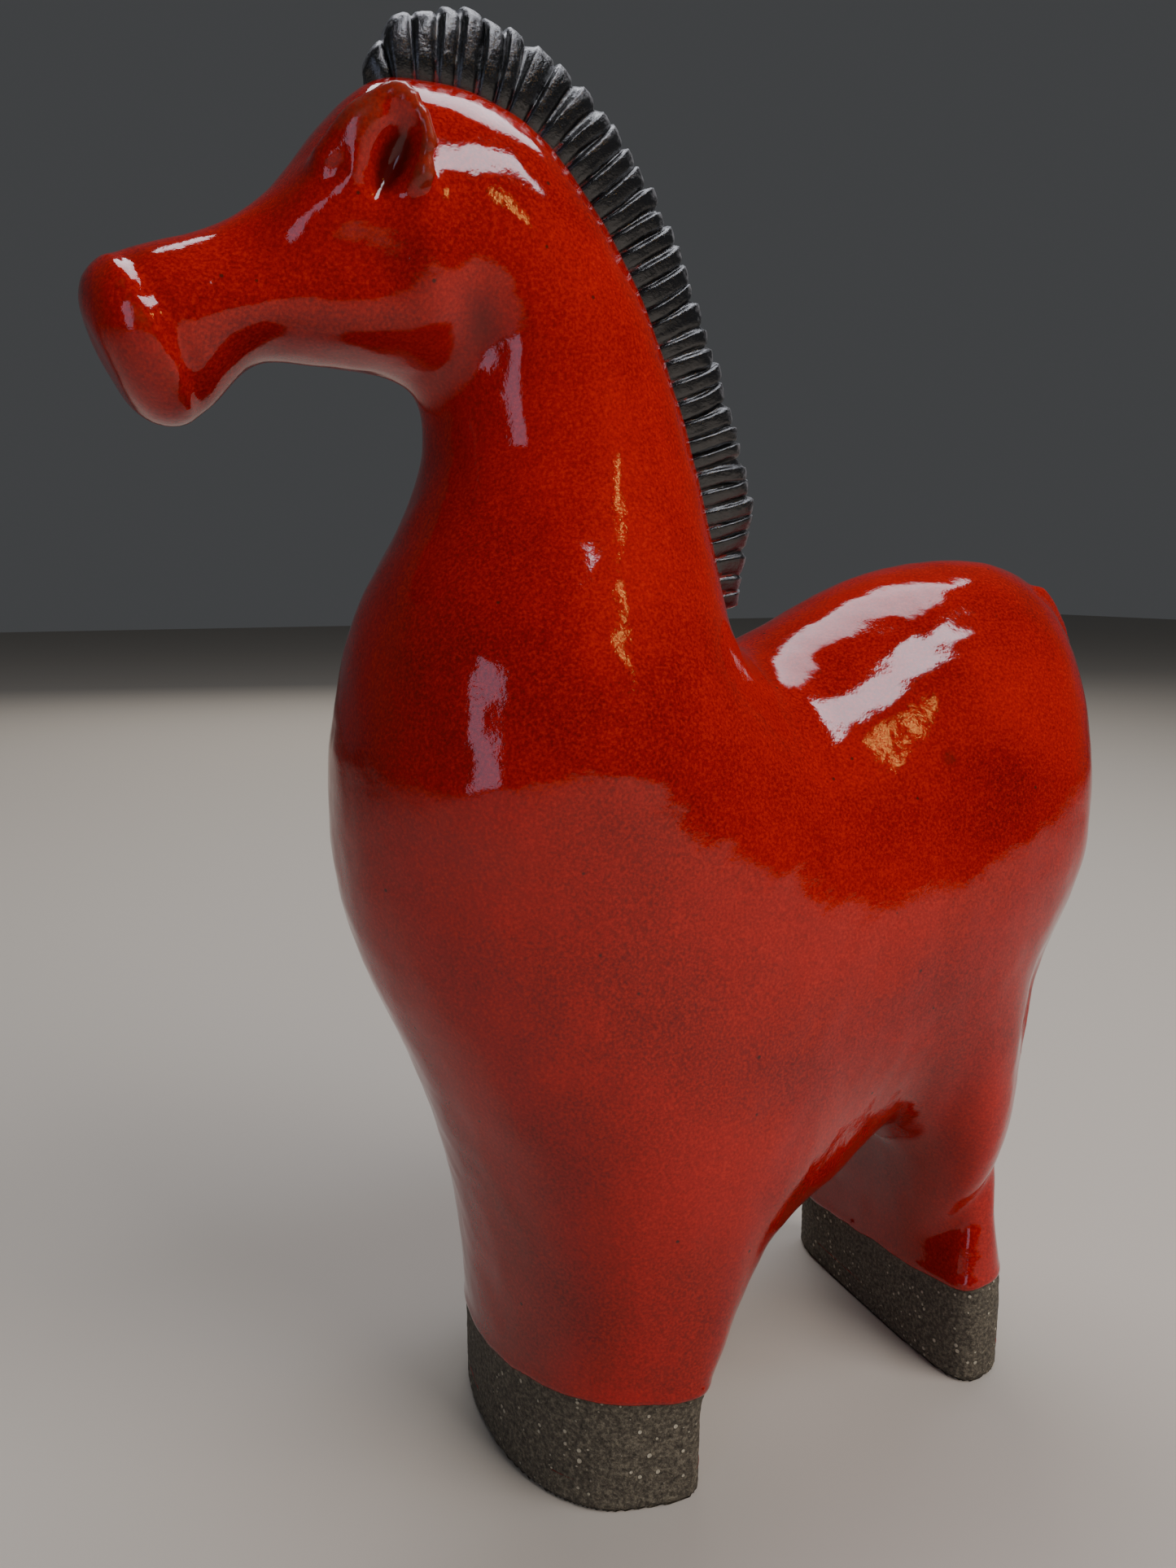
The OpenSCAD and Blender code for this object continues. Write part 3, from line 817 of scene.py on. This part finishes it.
mane = {
    "ridges": 36,
    "height": 13.6 * mm,
    "half": 6.2 * mm,
    "root": 4 * mm,  # it goes this deep into the neck
    "depth": 1.25 * mm,  # of the grooves on the top of the strap
    "sideDepth": 1.7 * mm,
    "unevenPitch": 0.09,  # the comb's ridges differ by these shares
    "unevenHeight": 0.025,
    "unevenDepth": 0.16,
    "lean": 0.5 * mm,
    "bow": 0.35 * mm,
    "rough": 0.14 * mm,
    "roughSize": 2.2 * mm,
    "perRidge": 12,
    "around": 30,
    "crestSteps": 240,
}
baseClosed.normal_update()
neckTree = BVHTree.FromBMesh(baseClosed)
baseClosed.free()
maneCad = weldedCad("mane")
strapTree = BVHTree.FromBMesh(maneCad)
maneCad.free()

# the crest is found by looking outward from a point inside the neck's curve
maneLow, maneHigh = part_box("mane")
pivot = Vector((maneLow.x * 0.62 + maneHigh.x * 0.38, 0, maneLow.z * 0.62 + maneHigh.z * 0.38))
headAngle = math.atan2(maneHigh.z - 22 * mm - pivot.z, maneLow.x + 3 * mm - pivot.x)
footAngle = math.atan2(maneLow.z - 1 * mm - pivot.z, maneHigh.x - 2.5 * mm - pivot.x)
angles = [footAngle + (headAngle - footAngle) * i / mane["crestSteps"]
          for i in range(mane["crestSteps"] + 1)]
aims = [Vector((math.cos(angle), 0, math.sin(angle))) for angle in angles]
hits = [neckTree.ray_cast(pivot, aim)[0] for aim in aims]
crest = np.array([(hit.x, hit.z) for hit in hits])
for _ in range(12):
    crest[1:-1] = (crest[:-2] + 2 * crest[1:-1] + crest[2:]) / 4
reach = []
for (x, z), aim in zip(crest, aims):  # the CAD strap's height over the crest, seen from outside
    hit = strapTree.ray_cast(pivot + 0.3 * aim, -aim)[0]
    reach.append((hit - Vector((x, 0, z))).length if hit else 0.0)
reach = np.array([max(reach[max(0, i - 5):i + 6]) for i in range(len(reach))])
for _ in range(10):
    reach[1:-1] = (reach[:-2] + 2 * reach[1:-1] + reach[2:]) / 4
crestRun = np.concatenate([[0], np.cumsum(np.linalg.norm(np.diff(crest, axis=0), axis=1))])
print("crest", round(crestRun[-1], 4))


def onCrest(run):
    return np.array([np.interp(run, crestRun, crest[:, 0]), np.interp(run, crestRun, crest[:, 1])])


def makeMane():
    rng = np.random.default_rng(4)
    count, around = mane["ridges"], mane["around"]
    pitch = 1 + mane["unevenPitch"] * rng.standard_normal(count)
    bounds = np.concatenate([[0], np.cumsum(pitch)]) / pitch.sum()
    drawn = count + 2  # two of each are spare
    tall = 0.985 + mane["unevenHeight"] * rng.standard_normal(drawn)
    deep = 1 + mane["unevenDepth"] * rng.standard_normal(drawn)
    lean = mane["lean"] * rng.standard_normal(drawn)
    steps = count * mane["perRidge"]
    points, rises, reds = [], [], []
    for i in range(steps + 1):
        share = i / steps * count
        ridge = min(int(share), count - 1)
        inRidge = share - ridge
        t = bounds[ridge] + (bounds[ridge + 1] - bounds[ridge]) * inRidge  # from the withers to the poll
        run = t * crestRun[-1]
        p = onCrest(run)
        along = onCrest(run + 1 * mm) - onCrest(run - 1 * mm)
        along /= np.linalg.norm(along)
        out = np.array([along[1], -along[0]])
        tallHere = min(float(np.interp(run, crestRun, reach)), mane["height"] * 1.15)
        full = min(1.0, tallHere / mane["height"], (t / 0.2 + 0.001) ** 0.7, ((1 - t) / 0.05 + 0.05) ** 0.5)
        # a slow rise out of the groove, a sharp lip, then a steep drop
        profile = np.interp(inRidge, [0, 0.1, 0.26, 0.6, 0.83, 0.93, 1.0],
                            [1.0, 0.58, 0.26, 0.05, 0.0, 0.42, 1.0])
        cut = mane["depth"] * deep[ridge] * profile * min(1, full * 1.6)
        height = min(tallHere, tallHere * ((1 - t) / 0.05 + 0.2) ** 0.5) * tall[ridge]
        half = mane["half"] * full ** 0.6
        for j in range(around + 1):  # over the strap from one side to the other
            a = math.pi * j / around
            across = math.copysign(abs(math.cos(a)) ** 0.62, math.cos(a))
            upward = math.sin(a) ** 0.5
            standing = min(1, max(0, (upward - 0.05) / 0.25))
            n = height * upward - cut * upward ** 2 - mane["root"] * (upward < 0.02)
            y = half * across - cut * mane["sideDepth"] / mane["depth"] * across * standing
            bow = lean[ridge] * math.sin(a) + mane["bow"] * math.sin(a * 2 + ridge)
            q = p + out * n + along * bow
            points.append((q[0], y, q[1]))
            rises.append(max(0.0, math.sin(a) ** 2 - 0.2 * profile))
            reds.append(max(0, 1 - upward * 1.5) * (0.35 + 0.65 * profile)
                        + max(0, 1 - t / 0.16) * (0.25 + 0.75 * profile))
    return points, rises, reds, steps


points, rises, reds, steps = makeMane()
ring = mane["around"] + 1
bm = bmesh.new()
verts = [bm.verts.new(p) for p in points]
for i in range(steps):
    here, there = i * ring, (i + 1) * ring
    for j in range(ring):
        k = (j + 1) % ring
        bm.faces.new((verts[here + j], verts[here + k], verts[there + k], verts[there + j]))
bm.faces.new(verts[:ring])
bm.faces.new(verts[:-ring - 1:-1])
bmesh.ops.recalc_face_normals(bm, faces=bm.faces)
combedMane = newObject("combedMane", bm)
mesh = combedMane.data
setAttribute(mesh, "rise", rises)
setAttribute(mesh, "red", reds)
points, normals = getPoints(mesh), getPoints(mesh, "normal")
points += normals * (mane["rough"] * waves(points, mane["roughSize"], 14))[:, None]
setPoints(mesh, points)
mesh.materials.append(maneGlaze)
shadeSmooth(combedMane)
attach(combedMane, "root")
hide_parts("mane")
print("mane done", len(mesh.vertices))

# floor, lights and surroundings

studio = {
    "floor": "#b5afa6",
    "floorRoughness": 0.8,
    "floorHalf": 4,
    "sky": "#c9ccd0",
    "skyStrength": 0.1,
    "lookAt": (0, 0, 0.16),
}
floorMaterial, tree = newMaterial("paleFloor")
shader = addNode(tree, "ShaderNodeBsdfPrincipled", {
    "Base Color": linearColour(studio["floor"]), "Roughness": studio["floorRoughness"]})
addNode(tree, "ShaderNodeOutputMaterial", {"Surface": shader.outputs["BSDF"]})
bm = bmesh.new()
bmesh.ops.create_grid(bm, x_segments=4, y_segments=4, size=studio["floorHalf"])
floor = newObject("floor", bm)
floor.data.materials.append(floorMaterial)
floor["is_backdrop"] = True

lights = {
    # name: direction from the horse, distance, width, height, power in watts, colour, and whether
    # the glaze mirrors it
    "overhead": ((0.2, 0.3, 0.93), 1.2, 1.0, 0.5, 9, "#f4f6ff", True),
    "skylight": ((0.32, -0.45, 0.84), 1.2, 0.7, 0.26, 6, "#f4f6ff", True),
    "window": ((-0.78, -0.6, 0.2), 1.3, 0.3, 0.7, 1.3, "#cfdcff", True),
    "lamp": ((0.4, -0.7, 0.59), 1.3, 0.016, 0.18, 0.3, "#ffc060", True),
    "fillAbove": ((0.45, -0.7, 0.6), 1.6, 1.0, 0.8, 13, "#fff4ea", False),
    "fillLeft": ((0.05, -0.95, 0.25), 1.6, 1.2, 0.9, 4.0, "#fff4ea", False),
    "fillRight": ((0.2, 0.9, 0.45), 1.6, 1.2, 0.9, 8, "#fff8f0", False),
}
for name, (way, distance, width, height, power, colour, mirrored) in lights.items():
    data = bpy.data.lights.new(name, "AREA")
    data.shape = "RECTANGLE"
    data.size, data.size_y = width, height
    data.energy = power
    data.color = linearColour(colour)[:3]
    light = bpy.data.objects.new(name, data)
    way = Vector(way).normalized()
    light.location = Vector(studio["lookAt"]) + way * distance
    light.rotation_mode = "QUATERNION"
    light.rotation_quaternion = (-way).to_track_quat("-Z", "Y")
    light.visible_glossy = mirrored
    bpy.context.scene.collection.objects.link(light)

world = bpy.data.worlds.new("studio")
bpy.context.scene.world = world
world.use_nodes = True
world.node_tree.nodes.clear()
sky = addNode(world.node_tree, "ShaderNodeBackground", {
    "Color": linearColour(studio["sky"]), "Strength": studio["skyStrength"]})
addNode(world.node_tree, "ShaderNodeOutputWorld", {"Surface": sky.outputs["Background"]})
print("stage done")

low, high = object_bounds()
